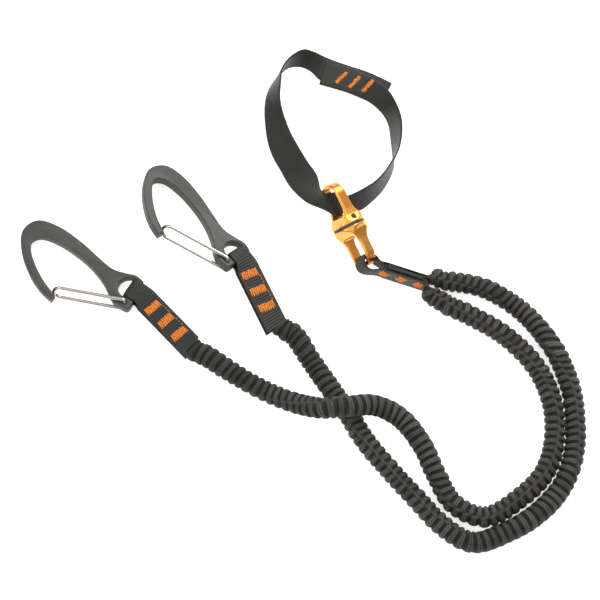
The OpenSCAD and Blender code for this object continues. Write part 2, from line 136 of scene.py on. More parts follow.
# ---------- meshes
def add_mesh(name, verts, faces, material, body, uvs=None, values=None):
    """A new piece from vertices in millimetres in the layout's axes."""
    mesh = bpy.data.meshes.new(name)
    mesh.from_pydata(((np.asarray(verts) + SHIFT) * MM).tolist(), [], faces)
    if uvs is not None:
        layer = mesh.uv_layers.new(name="weave")
        layer.data.foreach_set("uv", np.asarray(uvs, np.float32).ravel())
    for key, value in (values or {}).items():
        attribute = mesh.attributes.new(key, "FLOAT", "POINT")
        attribute.data.foreach_set("value", np.asarray(value, np.float32))
    mesh.validate()
    mesh.update()
    mesh.shade_smooth()
    mesh.materials.append(material)
    obj = new_object(name, mesh)
    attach(obj, body)
    return obj


def repaint(node, material):
    """Gives a CAD piece a procedural material."""
    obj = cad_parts[node]
    obj.data.materials.clear()
    obj.data.materials.append(material)
    return obj


def ring_faces(n, m):
    """Quads over n rings of m points, as an array of rows of four."""
    i = np.arange(n - 1)[:, None]
    j = np.arange(m)[None, :]
    a = i * m + j
    b = i * m + (j + 1) % m
    return np.stack([a, b, b + m, a + m], axis=-1).reshape(-1, 4)


def ring_uvs(n, m, s):
    """UVs for ring_faces: across from 0 to 1, along in metres."""
    u0 = np.tile(np.arange(m) / m, (n - 1, 1))
    u1 = np.tile((np.arange(m) + 1) / m, (n - 1, 1))
    v0 = np.tile(s[:-1, None], (1, m)) * MM
    v1 = np.tile(s[1:, None], (1, m)) * MM
    corners = [np.stack([u0, v0], -1), np.stack([u1, v0], -1),
               np.stack([u1, v1], -1), np.stack([u0, v1], -1)]
    return np.stack(corners, axis=2).reshape(-1, 2)


def capped_tube(rings, s=None):
    """Vertices, faces and UVs of a closed tube through rings of points."""
    rings = np.asarray(rings, float)
    n, m = rings.shape[:2]
    if s is None:
        s = lengths(rings.mean(axis=1))
    faces = ring_faces(n, m).tolist()
    uvs = ring_uvs(n, m, s)
    first = list(range(m))[::-1]
    last = [(n - 1) * m + j for j in range(m)]
    cap_uv = np.array([[0.5 + 0.4 * cosd(360 * j / m), 0.5 + 0.4 * sind(360 * j / m)]
                       for j in range(m)]) * 0.01
    uvs = np.vstack([uvs, cap_uv[::-1], cap_uv])
    return rings.reshape(-1, 3), faces + [first, last], uvs


def join_parts(parts):
    """One set of vertices, faces and UVs from several."""
    verts, faces, uvs, start = [], [], [], 0
    for v, f, t in parts:
        verts.append(v)
        faces += [[k + start for k in face] for face in f]
        uvs.append(t)
        start += len(v)
    return np.vstack(verts), faces, np.vstack(uvs)


def round_tube(path, radius, sides):
    """A tube of round section along a path, with rounded ends."""
    path = np.asarray(path, float)
    t = directions(path)
    normal = np.empty_like(path)
    normal[0] = unit(np.cross(t[0], [0.3, 0.2, 1.0]))
    for i in range(1, len(path)):
        n = normal[i - 1] - t[i] * np.dot(normal[i - 1], t[i])
        normal[i] = unit(n)
    other = np.cross(t, normal)
    q = np.arange(sides) * 2 * math.pi / sides
    r = np.broadcast_to(np.asarray(radius, float), (len(path),)).copy()
    lead = [(0.98, 0.2), (0.7, 0.71)]
    centres = [path[0] - t[0] * r[0] * a for a, b in lead] + list(path) \
        + [path[-1] + t[-1] * r[-1] * a for a, b in lead[::-1]]
    radii = [r[0] * b for a, b in lead] + list(r) + [r[-1] * b for a, b in lead[::-1]]
    side = [normal[0]] * 2 + list(normal) + [normal[-1]] * 2
    up = [other[0]] * 2 + list(other) + [other[-1]] * 2
    rings = [c + rr * (np.cos(q)[:, None] * a + np.sin(q)[:, None] * b)
             for c, rr, a, b in zip(centres, radii, side, up)]
    return capped_tube(np.array(rings))


# ---------- materials
class Nodes:
    """A short way to build a material's nodes."""

    def __init__(self, name):
        self.material = bpy.data.materials.new(name)
        self.material.use_nodes = True
        self.tree = self.material.node_tree
        self.shader = self.tree.nodes["Principled BSDF"]

    def add(self, kind, **settings):
        node = self.tree.nodes.new(kind)
        for key, value in settings.items():
            setattr(node, key, value)
        return node

    def link(self, a, b):
        self.tree.links.new(a, b)

    def set(self, **values):
        for key, value in values.items():
            self.shader.inputs[key.replace("_", " ")].default_value = value

    def math(self, operation, a, b=None, clamp=False):
        node = self.add("ShaderNodeMath", operation=operation, use_clamp=clamp)
        for slot, value in zip(node.inputs, (a, b)):
            if value is None:
                continue
            if isinstance(value, (int, float)):
                slot.default_value = value
            else:
                self.link(value, slot)
        return node.outputs[0]

    def uv(self):
        node = self.add("ShaderNodeUVMap", uv_map="weave")
        split = self.add("ShaderNodeSeparateXYZ")
        self.link(node.outputs[0], split.inputs[0])
        return split.outputs[0], split.outputs[1]

    def position(self):
        return self.add("ShaderNodeTexCoord").outputs["Object"]

    def noise(self, vector, scale, detail=3.0, roughness=0.55):
        node = self.add("ShaderNodeTexNoise")
        node.inputs["Scale"].default_value = scale
        node.inputs["Detail"].default_value = detail
        node.inputs["Roughness"].default_value = roughness
        self.link(vector, node.inputs["Vector"])
        return node.outputs[0]

    def ramp(self, value, stops):
        node = self.add("ShaderNodeValToRGB")
        ramp_data = node.color_ramp
        while len(ramp_data.elements) < len(stops):
            ramp_data.elements.new(0.5)
        for element, (place, colour) in zip(ramp_data.elements, stops):
            element.position = place
            element.color = (*colour, 1.0)
        self.link(value, node.inputs[0])
        return node.outputs[0]

    def mix(self, factor, a, b):
        node = self.add("ShaderNodeMix", data_type="RGBA")
        for slot, value in zip((node.inputs[0], node.inputs[6], node.inputs[7]),
                               (factor, a, b)):
            if isinstance(value, (int, float)):
                slot.default_value = value
            elif isinstance(value, tuple):
                slot.default_value = (*value, 1.0)
            else:
                self.link(value, slot)
        return node.outputs[2]

    def bump(self, height, distance, strength):
        node = self.add("ShaderNodeBump")
        node.inputs["Distance"].default_value = distance
        node.inputs["Strength"].default_value = strength
        self.link(height, node.inputs["Height"])
        return node.outputs[0]

    def finish(self, colour, roughness, normal):
        self.link(colour, self.shader.inputs["Base Color"])
        if roughness is not None:
            self.link(roughness, self.shader.inputs["Roughness"])
        self.link(normal, self.shader.inputs["Normal"])
        return self.material


def sleeve_material():
    """Gathered tubular webbing: fine round-the-tube yarns, with a painted highlight on the rib
    crests and painted shade in the grooves.
    """
    n = Nodes("sleeve_fabric")
    u, v = n.uv()
    around = n.math("SINE", n.math("MULTIPLY", u, 2 * math.pi * 54))
    along = n.math("SINE", n.math("MULTIPLY", v, 2 * math.pi / 0.00092))
    yarn = n.math("MULTIPLY", around, along)
    fuzz = n.noise(n.position(), 2600.0, 3.0, 0.6)
    height = n.math("ADD", n.math("MULTIPLY", yarn, 0.5), fuzz)
    # Painted light and shade: a per-point value from the mesh makes the rib crests pale and the
    # grooves and cords dark, from near black up to a pale grey.
    painted_rib_light = n.add("ShaderNodeAttribute", attribute_name="painted_rib_light").outputs["Fac"]
    blotch = n.noise(n.position(), 55.0, 2.0, 0.5)
    tone = n.math("ADD", n.math("MULTIPLY", n.math("POWER", painted_rib_light, 1.6), 0.66),
                  n.math("ADD", n.math("MULTIPLY", blotch, 0.08),
                         n.math("MULTIPLY", n.math("ADD", yarn, fuzz), 0.16)), clamp=True)
    colour = n.ramp(tone, [(0.0, (0.0040, 0.0037, 0.0030)), (0.40, (0.0120, 0.0114, 0.0092)),
                           (0.68, (0.055, 0.052, 0.042)), (1.0, (0.165, 0.159, 0.133))])
    n.set(Roughness=0.68, Sheen_Weight=0.03, Sheen_Roughness=0.5, Specular_IOR_Level=0.3)
    return n.finish(colour, None, n.bump(height, 0.00012, 0.8))


def webbing_material(name, light, rib, fine=0.0007, ribbing=0.24, sheen=0.03):
    """Flat woven webbing: warp lines along it and weft ribs across it."""
    n = Nodes(name)
    u, v = n.uv()
    weft = n.math("SINE", n.math("MULTIPLY", v, 2 * math.pi / rib))
    warp = n.math("SINE", n.math("MULTIPLY", u, 2 * math.pi * 34))
    weave = n.math("MULTIPLY", warp, n.math("SINE", n.math("MULTIPLY", v, 2 * math.pi / fine)))
    fuzz = n.noise(n.position(), 3000.0, 3.0, 0.6)
    blotch = n.noise(n.position(), 60.0, 3.0, 0.5)
    height = n.math("ADD", n.math("MULTIPLY", weave, 0.45),
                    n.math("ADD", n.math("MULTIPLY", weft, 0.5), n.math("MULTIPLY", fuzz, 0.7)))
    tone = n.math("ADD", n.math("MULTIPLY", n.math("ADD", weft, 1.0), ribbing),
                  n.math("ADD", n.math("MULTIPLY", blotch, 0.40),
                         n.math("MULTIPLY", fuzz, 0.25)), clamp=True)
    dark = tuple(0.22 * c for c in light)
    pale = tuple(2.2 * c for c in light)
    colour = n.ramp(tone, [(0.2, dark), (0.55, light), (0.95, pale)])
    n.set(Roughness=0.5, Sheen_Weight=sheen, Sheen_Roughness=0.4, Specular_IOR_Level=0.36)
    return n.finish(colour, None, n.bump(height, 0.00010, 0.7))


def thread_material():
    """Bonded sewing thread, orange, with twist lines and a little soil."""
    n = Nodes("stitch_thread")
    u, v = n.uv()
    twist = n.math("SINE", n.math("ADD", n.math("MULTIPLY", v, 2 * math.pi / 0.0006),
                                  n.math("MULTIPLY", u, 2 * math.pi * 2)))
    tone = n.math("ADD", n.math("MULTIPLY", n.noise(n.position(), 420.0, 2.0), 0.8),
                  n.math("MULTIPLY", n.math("ADD", twist, 1.0), 0.12), clamp=True)
    colour = n.ramp(tone, [(0.2, (0.50, 0.120, 0.010)), (0.5, (0.92, 0.260, 0.022)),
                           (0.85, (1.0, 0.390, 0.070))])
    n.set(Roughness=0.5, Sheen_Weight=0.05, Specular_IOR_Level=0.35)
    return n.finish(colour, None, n.bump(twist, 0.00006, 0.7))


def clip_material():
    """Matte grey anodised forging, tumbled, with a painted highlight: paler patches on the
    rounded edges.
    """
    n = Nodes("clip_anodised")
    where = n.position()
    edge = n.add("ShaderNodeAttribute", attribute_name="edge").outputs["Fac"]
    grain = n.noise(where, 900.0, 4.0, 0.6)
    cloud = n.noise(where, 42.0, 3.0, 0.5)
    base = n.ramp(n.math("ADD", n.math("MULTIPLY", cloud, 0.7), n.math("MULTIPLY", grain, 0.3)),
                  [(0.3, (0.047, 0.046, 0.041)), (0.7, (0.061, 0.060, 0.053))])
    # Painted highlight: patches along the rounded edges are mixed towards a pale grey.
    patch = n.math("GREATER_THAN", n.noise(where, 130.0, 4.0, 0.7), 0.5)
    edge_highlight = n.math("MULTIPLY", edge, patch)
    colour = n.mix(n.math("MULTIPLY", edge_highlight, 0.12), base, (0.30, 0.295, 0.28))
    rough = n.math("ADD", n.math("MULTIPLY", grain, 0.16), 0.40)
    n.set(Metallic=0.15, Specular_IOR_Level=0.35)
    return n.finish(colour, rough, n.bump(grain, 0.00004, 0.5))


def wire_material():
    """Bright drawn stainless wire with faint draw lines."""
    n = Nodes("gate_wire")
    u, v = n.uv()
    vector = n.add("ShaderNodeCombineXYZ")
    n.link(n.math("MULTIPLY", u, 40.0), vector.inputs[0])
    n.link(n.math("MULTIPLY", v, 25.0), vector.inputs[1])
    drawn = n.noise(vector.outputs[0], 1.0, 3.0, 0.5)
    rough = n.math("ADD", n.math("MULTIPLY", drawn, 0.10), 0.17)
    colour = n.ramp(drawn, [(0.3, (0.42, 0.39, 0.35)), (0.7, (0.54, 0.51, 0.47))])
    n.set(Metallic=1.0)
    return n.finish(colour, rough, n.bump(drawn, 0.00001, 0.2))


def swivel_material():
    """Polished orange anodised aluminium with fine turning lines and small scuffs."""
    n = Nodes("swivel_anodised")
    where = n.position()
    cloud = n.noise(where, 70.0, 3.0, 0.5)
    grain = n.noise(where, 1500.0, 4.0, 0.6)
    scuff = n.noise(where, 260.0, 6.0, 0.7)
    colour = n.ramp(n.math("ADD", n.math("MULTIPLY", cloud, 0.8),
                           n.math("MULTIPLY", grain, 0.2)),
                    [(0.25, (0.92, 0.36, 0.062)), (0.75, (1.0, 0.49, 0.12))])
    mark = n.math("GREATER_THAN", scuff, 0.66)
    colour = n.mix(n.math("MULTIPLY", mark, 0.25), colour, (1.0, 0.72, 0.38))
    rough = n.math("ADD", n.math("MULTIPLY", grain, 0.14), 0.24)
    n.set(Metallic=1.0)
    return n.finish(colour, rough, n.bump(grain, 0.00002, 0.4))


def small_part_material(name, colour, base_rough, metallic=1.0):
    """Turned steel, or moulded plastic or rubber, with a fine grain."""
    n = Nodes(name)
    shade = 0.70 + 0.05 * metallic
    grain = n.noise(n.position(), 1400.0 - 200.0 * metallic, 4.0, 0.6)
    tone = n.ramp(grain, [(0.3, tuple(shade * c for c in colour)), (0.7, colour)])
    rough = n.math("ADD", n.math("MULTIPLY", grain, 0.2), base_rough)
    n.set(Metallic=metallic)
    bump = n.bump(grain, 0.00003 - 0.00001 * metallic, 0.5 - 0.1 * metallic)
    return n.finish(tone, rough, bump)


SLEEVE = sleeve_material()
TAB_WEB = webbing_material("tab_webbing", (0.0190, 0.0184, 0.0150), 0.0019)
SLING_WEB = webbing_material("sling_webbing", (0.0155, 0.0148, 0.0112), 0.0011, 0.0005, 0.15,
                             0.22)
THREAD = thread_material()
CLIP = clip_material()
WIRE = wire_material()
SWIVEL = swivel_material()
STEEL = small_part_material("spindle_steel", (0.62, 0.61, 0.60), 0.16)
PIN = small_part_material("pin_steel", (0.16, 0.15, 0.14), 0.3)
SEAL = small_part_material("seal_plastic", (0.055, 0.056, 0.060), 0.25, 0.0)
RUBBER = small_part_material("core_rubber", (0.03, 0.03, 0.03), 0.6, 0.0)

# ---------- elastic arms
R = 6.8
RIB_PITCH = 5.4
GROOVE_DEPTH = 1.75
RIB_HEIGHT = 2.12
CLIP_TAB_END = 36.0
JUNCTION_TAB_END = 25.5
IN_TAB_HALF_W = 7.6
IN_TAB_HALF_H = 0.9
SLEEVE_SIDES = 60
SLEEVE_STEP = 0.42
FLOOR_CLEARANCE = 0.02
# x, y and z of each arm's points, as the CAD model has them. Half width, half height and roll
# follow where they are not R, R and 0.
LEFT_ROUTE = [
    (-48.5, -74.5, 5.6, 6.3, 1.9, 0), (-22.5, -103.5, 6.1, 6.3, 1.9, 0), (-12, -110, 6.9),
    (6.3, -122.3, 6.9), (26.2, -134, 7), (45.1, -143, 9.5), (63, -149.5, 17), (81, -150, 22),
    (99.4, -147.4, 16), (116.8, -154.2, 9), (130.3, -171.5, 7), (139.3, -192.4, 7),
    (150.6, -212.2, 7.5), (171, -220.8, 8.5), (193.6, -208, 9.5), (210.2, -190.6, 10),
    (217.4, -167.5, 10), (216.4, -141.3, 10), (206, -116.5, 9.5), (187, -95.5, 8.5),
    (164, -80.5, 7.2, R, R, 30), (146.5, -71.5, 7.2, R, R, 60),
    (133.5, -58.4, 8.2, 6.3, 0.9, 90), (109.2, -49.4, 8.4, 6.3, 0.9, 90)]
RIGHT_ROUTE = [
    (18, -54.5, 8.2, 6.3, 1.9, -16), (35.5, -86.5, 7.4, 6.3, 1.9, -10), (46.6, -95.2, 6.9),
    (56.8, -112, 6.9), (69.4, -131.2, 6.9), (81.5, -149.5, 6.9), (93, -169, 6.9),
    (109, -189, 6.9), (126.5, -209, 6.9), (142.5, -226.5, 6.9), (161.5, -237.5, 6.9),
    (182.6, -231.3, 6.9), (203.4, -219.1, 6.9), (220.7, -200.7, 6.9), (230, -177.6, 6.9),
    (231.9, -153, 6.9), (229, -128.2, 6.9), (218.8, -102.4, 6.9), (200.1, -78.1, 6.9),
    (176.4, -61.7, 6.9, R, R, 30), (151, -56, 7.2, R, R, 60), (134.2, -56.4, 8.2, 6.3, 0.9, 90),
    (109.8, -47.6, 8.4, 6.3, 0.9, 90)]


def arm_rows(route):
    """The route as a fine table: centre, half width, half height, roll."""
    route = np.array([row + (R, R, 0)[len(row) - 3:] for row in route])
    steps = 24
    centre = spline(route[:, :3], steps)
    i = np.repeat(np.arange(len(route) - 1), steps)
    t = np.tile(np.arange(steps) / steps, len(route) - 1)
    w = ramp(t)[:, None]
    rest = route[i, 3:] * (1 - w) + route[i + 1, 3:] * w
    rest = np.vstack([rest, route[-1:, 3:]])
    return np.hstack([centre, rest])


def gathered_sleeve(name, route, seam_turns, outward, seed, node, core_node):
    """A tubular sleeve gathered in ribs on an elastic core. The ribs of its two faces
    are staggered, and interlock along the two seams, except near the clip's tab."""
    rows, s = resample(arm_rows(route), SLEEVE_STEP)
    local = np.random.default_rng(seed)
    centre, half_w, half_h = rows[:, :3], rows[:, 3], rows[:, 4]
    total = s[-1]
    # The arm is full just past the clip's tab, and pressed flat inside the junction tab.
    grown = ramp((s - CLIP_TAB_END) / 4) * (s < total / 2)
    half_w = np.maximum(half_w, 6.3 + 1.0 * grown * ramp((110 - s) / 60))
    half_h = np.maximum(half_h, 6.9 * grown * ramp((170 - s) / 60))
    leaving = total - JUNCTION_TAB_END - s
    pressed = ramp((6 - leaving) / 6)
    half_w = np.maximum(half_w, IN_TAB_HALF_W * pressed)
    swell = np.maximum(IN_TAB_HALF_H + 5.5 * ramp(leaving / 9) - half_h, 0) * (leaving < 60)
    half_h = half_h + swell
    centre = centre + swell[:, None] * unit([*outward, 0.0])
    t = directions(centre)
    side = unit(np.cross([0.0, 0.0, 1.0], t))
    up = np.cross(t, side)
    roll = np.radians(rows[:, 5])[:, None]
    wide = np.cos(roll) * side + np.sin(roll) * up
    thin = np.cross(t, wide)
    theta = (np.arange(SLEEVE_SIDES) * 2 * math.pi / SLEEVE_SIDES)[None, :]
    # u counts the ribs, which wander and lean a little, and w is the place across one rib.
    knots = np.linspace(0, total, 40)
    wander = np.interp(s, knots, local.normal(0, 0.55, 40))[:, None]
    lean_a = np.interp(s, knots, local.normal(0, 0.9, 40))[:, None]
    lean_b = np.interp(s, knots, local.normal(0, 0.9, 40))[:, None]
    edge_at = np.radians(np.interp(s / total, [k for k, a in seam_turns],
                                   [a for k, a in seam_turns]))[:, None]
    rel = theta - edge_at
    face = np.sin(rel)
    seamed = ramp((s - 80) / 45)[:, None]
    stagger = 0.25 * np.tanh(face / 0.16) * seamed
    u = (s[:, None] + wander + lean_a * np.cos(theta) + lean_b * np.sin(theta)) / RIB_PITCH
    u = u + stagger
    rib = np.round(u).astype(int)
    w = u - rib
    bulge = np.power(np.clip(1 - np.power(np.abs(2 * w), 1.9), 0, 1), 0.5)
    table = local.normal(0, 1, (2, rib.max() + 8))
    which = (face > 0).astype(int)
    uneven = table[which, rib]
    # Ribs, finer knit beside the seams, and three sunk cords along each rib.
    near_edge = np.exp(-(face / 0.24) ** 2) * seamed
    braid = 0.82 + 0.12 * (np.cos(2 * math.pi * 3 * u) + np.cos(12 * rel))
    bulge = bulge * (1 - 0.38 * near_edge) + braid * 0.38 * near_edge
    cords = 0.7 * np.exp(-(w / 0.055) ** 2) + 0.8 * np.exp(-((np.abs(w) - 0.31) / 0.045) ** 2)
    cords = cords * (1 - near_edge)
    height = -GROOVE_DEPTH + (RIB_HEIGHT + 0.08 * uneven) * bulge - 0.24 * cords
    tail = ramp((s - CLIP_TAB_END + 1) / 4) * ramp((leaving + 1.5) / 4)
    height = height * (0.12 + 0.88 * tail[:, None])
    a = (half_w[:, None] + height) * np.cos(theta)
    squared = np.sign(np.sin(theta)) * np.abs(np.sin(theta)) ** (1 - 0.75 * pressed[:, None])
    b = (half_h[:, None] + np.minimum(height, half_h[:, None])) * squared
    verts = centre[:, None, :] + a[..., None] * wide[:, None, :] + b[..., None] * thin[:, None, :]
    above = verts[..., 2] - FLOOR_CLEARANCE
    verts[..., 2] = FLOOR_CLEARANCE + np.maximum(above, 0.05 * above)
    v, f, uvs = capped_tube(verts, s)
    # Painted light and shade: crests and the knit beside the seams are painted pale as a
    # highlight, grooves and cords are painted dark as shade, with a little random tone from rib
    # to rib.
    painted_rib_light = np.clip((height + GROOVE_DEPTH) / 2.1, 0, 1)
    painted_rib_light = (painted_rib_light - 0.45 * cords + 0.02 * uneven) * (0.87 + 0.13 * seamed)
    knit = 0.74 + 0.20 * np.cos(2 * math.pi * 3 * u) + 0.16 * np.cos(14 * rel)
    painted_rib_light = np.clip(painted_rib_light * (1 - 0.8 * near_edge) + knit * 0.8 * near_edge, 0, 1)
    obj = add_mesh(name, v, f, SLEEVE, "arms", uvs,
                   values={"painted_rib_light": painted_rib_light.ravel()})
    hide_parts(node)
    core = repaint(core_node, RUBBER)
    core.data.shade_smooth()


# Where a seam lies round the arm: share of the length and angle in degrees.
LEFT_SEAM = [(0, 0), (0.15, -5), (0.235, -75), (0.30, -160), (0.40, -175), (0.50, -240),
             (0.60, -265), (0.70, -250), (0.80, -300), (1, -355)]
RIGHT_SEAM = [(0, 0), (0.17, -5), (0.26, -80), (0.38, -95), (0.46, -160), (0.55, -180),
              (0.62, -250), (0.70, -265), (0.78, -340), (1, -365)]
gathered_sleeve("left_arm_sleeve", LEFT_ROUTE, LEFT_SEAM, (-0.33, -0.94), 11,
                "left_sleeve", "left_elastic_core")
gathered_sleeve("right_arm_sleeve", RIGHT_ROUTE, RIGHT_SEAM, (0.33, 0.94), 23,
                "right_sleeve", "right_elastic_core")


# ---------- webbing
WEB_T = 1.3
WEB_RIB = 1.9
WEB_RELIEF = 0.19
TAB_W = 16.0
TAB_GAP = 2.0
POINTS_ACROSS = 15
LAYER_ROWS = 90


def strap_mesh(name, centre, half, normal, thick, material, body, rib, amp):
    """A strip of woven webbing: centre line, half width vectors and unit normals."""
    rows = np.hstack([centre, half, normal])
    rows, s = resample(rows, min(0.32, rib / 5))
    centre, half, normal = rows[:, :3], rows[:, 3:6], unit(rows[:, 6:9])
    u = np.sin(np.linspace(-math.pi / 2, math.pi / 2, POINTS_ACROSS))
    profile = 0.24 + 0.76 * np.sqrt(np.clip(1 - np.abs(u) ** 10, 0, 1))
    inside = 1 - np.abs(u) ** 6
    wave = np.cos(2 * math.pi * s / rib)[:, None]
    selvage = 0.05 * np.cos(2 * math.pi * s / (rib * 0.5))[:, None] * (np.abs(u) > 0.93)
    top = (thick / 2) * profile + amp * wave * inside + selvage
    bottom = (thick / 2) * profile - amp * wave * inside + selvage
    across_vec = half[:, None, :] * u[None, :, None]
    upper = centre[:, None, :] + across_vec + normal[:, None, :] * top[..., None]
    lower = centre[:, None, :] + across_vec - normal[:, None, :] * bottom[..., None]
    rings = np.concatenate([lower, upper[:, ::-1]], axis=1)
    v, f, uvs = capped_tube(rings, s)
    return add_mesh(name, v, f, material, body, uvs)


def tab_frame(bar, axes, end, end_across, loop_r, slot_w, knee, join=16.0, skew=0.0):
    """Centre line, half widths and normals of a looped tab, as in the CAD model."""
    corner = bar + axes[0] * knee
    direction = unit(end - corner)
    length = knee + np.linalg.norm(end - corner)
    bend = min(knee, 3)
    end_off = TAB_GAP + WEB_T / 2

    def centre_at(s):
        t = min(max((s - knee + bend) / (2 * bend), 0), 1)
        if s < knee - bend:
            return bar + axes[0] * s
        if s > knee + bend:
            return corner + direction * (s - knee)
        return corner - axes[0] * bend * (1 - t) ** 2 + direction * bend * t * t

    rows = []

    def add_layer(s, sign):
        k = ramp((s - knee + bend) / 12)
        n = unit(axes[2] * (1 - k) + np.cross(direction, end_across) * k)
        wide = unit(axes[1] * (1 - k) + end_across * k)
        r = ramp(s / join)
        off = loop_r * (1 - r) + end_off * r
        q = ramp((s - loop_r - 1) / 7)
        half_w = (slot_w * (1 - q) + TAB_W * q) / 2
        slant = skew * ramp((s - length + 18) / 18) * direction
        rows.append(np.concatenate([centre_at(s) + sign * off * n, wide * half_w + slant,
                                    sign * n]))

    for s in np.linspace(length, 0.5, LAYER_ROWS):
        add_layer(s, 1)
    for q in np.linspace(0, math.pi, 40):
        out = math.cos(q) * axes[2] - math.sin(q) * axes[0]
        rows.append(np.concatenate([bar + loop_r * out, axes[1] * slot_w / 2, out]))
    for s in np.linspace(0.5, length, LAYER_ROWS):
        add_layer(s, -1)
    rows = np.array(rows)
    return rows[:, :3], rows[:, 3:6], rows[:, 6:9]


def clip_axes(heading, lift):
    """A clip's own axes: towards its tab, along its bar and out of its face."""
    side = np.array([-sind(heading), cosd(heading), 0.0])
    up = np.array([0.0, 0.0, 1.0])
    return (np.array([cosd(heading), sind(heading), 0.0]),
            cosd(lift) * side - sind(lift) * up, sind(lift) * side + cosd(lift) * up)


def end_wide(bar, end, roll):
    """The direction across a clip tab's sewn end."""
    d = unit(end - bar)
    s = unit(np.cross([0.0, 0.0, 1.0], d))
    return cosd(roll) * s - sind(roll) * np.cross(d, s)


CLIPS = {"left": dict(bar=np.array([-62.5, -62.3, 5.2]), heading=-30, lift=4.6,
                      reach=(40.3, -41.7, 1.1), roll=2, first=19.0, seed=31),
         "right": dict(bar=np.array([7.8, -37.8, 8.5]), heading=-46, lift=22,
                       reach=(26.2, -51.8, -1.1), roll=10, first=16.7, seed=37)}
TAB_LENGTH = 58.0
SLOT_Y = -0.6


# ---------- stitching
TACK_THREAD_R = 0.34
EDGE_THREAD_R = 0.20
THREAD_SIDES = 6
THREAD_PITCH = 0.80
RAY_START = 9.0


def stitch_block(centre, along, across, normal, length, width, slant, local, cloth):
    """Threads of one bar tack on one face: close zigzag stitches with ragged ends."""
    c, s = cosd(slant), sind(slant)
    d = c * along + s * across
    a = -s * along + c * across
    parts = []
    count = int(width / THREAD_PITCH)
    for k in range(count):
        x0 = -width / 2 + (k + 0.5) * width / count
        lean = local.normal(0, 0.16) + (0.30 if k % 2 else -0.30)
        low = -length / 2 + local.uniform(-0.5, 0.45)
        high = length / 2 + local.uniform(-0.45, 0.5)
        lift = local.uniform(0.16, 0.34)
        t = np.linspace(0, 1, 9)
        z = lift * np.sin(math.pi * t) ** 0.45 - 0.32 * (1 - np.sin(math.pi * t) ** 0.6)
        y = low + (high - low) * t
        x = x0 + lean * (t - 0.5) + 0.06 * np.sin(7 * t + k)
        path = centre + y[:, None] * d + x[:, None] * a
        path = path + (z[:, None] + cloth_offset(cloth, path, normal)) * normal
        parts.append(round_tube(path, TACK_THREAD_R, THREAD_SIDES))
    return parts


def cloth_offset(cloth, points, normal):
    """How far the cloth's face lies from each point, along the normal."""
    found = []
    for point in points:
        start = (point + SHIFT + RAY_START * normal) * MM
        place, _, _, depth = cloth.ray_cast(Vector(start), Vector(-normal), RAY_START * MM)
        found.append(RAY_START - depth / MM if place is not None else 0.5)
    return np.array(found)[:, None]


def edge_stitches(start, stop, normal, local, cloth):
    """A run of small single stitches along a line."""
    parts = []
    length = np.linalg.norm(stop - start)
    d = (stop - start) / length
    count = max(2, int(length / 2.5))
    for k in range(count):
        at = (k + 0.5) * length / count + local.normal(0, 0.12)
        t = np.linspace(-1, 1, 7)
        z = 0.16 - 0.36 * np.abs(t) ** 2
        path = start + d * at + (t * 0.7)[:, None] * d
        path = path + (z[:, None] + cloth_offset(cloth, path, normal)) * normal
        parts.append(round_tube(path, EDGE_THREAD_R, THREAD_SIDES))
    return parts


def tack_threads(name, node, strap, start, along, across, first, slant, seed, body,
                 pitch=13.0, length=5.4, width=11.5, edge_side=0):
    """Three bar tacks in a row on both faces of a sewn strap."""
    cloth = BVHTree.FromPolygons([v.co for v in strap.data.vertices],
                                 [p.vertices for p in strap.data.polygons])
    local = np.random.default_rng(seed)
    normal = np.cross(along, across)
    parts = []
    for sign in (1, -1):
        for k in range(3):
            centre = start + along * (first + k * pitch)
            parts += stitch_block(centre, along, across, sign * normal, length, width, slant,
                                  local, cloth)
            if k < 2 and edge_side:
                side = centre + across * edge_side
                parts += edge_stitches(side + along * 2.6, side + along * (pitch - 2.6),
                                       sign * normal, local, cloth)
    v, f, uvs = join_parts(parts)
    obj = add_mesh(name, v, f, THREAD, body, uvs)
    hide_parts(node)


# ---------- clips
OUTER = [(-43.5, -35.5), (-54, -33), (-66.5, -26.6), (-80.5, -15), (-88.5, -1.5), (-84, 10.5),
         (-69, 14), (-50, 12), (-33, 8), (-21, 5.6), (-12, 7.2), (-4, 9.5), (2.5, 8.2)]
HEEL = [(4.6, -10), (4.6, -13.6), (2.6, -15.6), (-7.5, -15.4)]
INNER = [(-11, -12.9), (-20, -6.5), (-33, -0.9), (-47, 2.3), (-62, 3.5), (-74.5, 1.7),
         (-79.2, -4), (-76, -10.5), (-66.5, -19), (-55, -26.2), (-43.3, -31)]
SLOT_R = 7.6
GATE_PIVOT = np.array([0.0, -11.8])
GATE_HEADING = 199.5
GATE_TWIST = 13.0
GATE_LENGTH = 49.0
LEG_HALF = 5.0
WIRE_R = 1.2
PLATE_T = 6.6
PLATE_BEVEL = 0.75
GATE_BORE_R = 1.25
BAR_R = 2.9
BAR_R_MAX = 3.2
CLIP_SLOT_WEB_W = 14.2
WELD_DISTANCE = 1e-6


def placed(points, bar, axes):
    """Points in a clip's own axes, brought to the layout's axes."""
    p = np.asarray(points, float)
    return bar + p[:, :1] * axes[0] + p[:, 1:2] * axes[1] + p[:, 2:3] * axes[2]


def clip_outline():
    """The outline of the clip's plate: back, slot, heel and basket."""
    arc = [(-3.4 + SLOT_R * cosd(a), SLOT_Y + SLOT_R * sind(a))
           for a in np.linspace(90, 270, 33)]
    heel = spline(HEEL, 5)
    return np.vstack([spline(OUTER, 9), [(2.9, SLOT_Y + SLOT_R + 0.2)],
                      [(2.6, SLOT_Y + SLOT_R)], arc, [(4.4, SLOT_Y - SLOT_R)],
                      heel[:-1], spline(INNER, 9)])


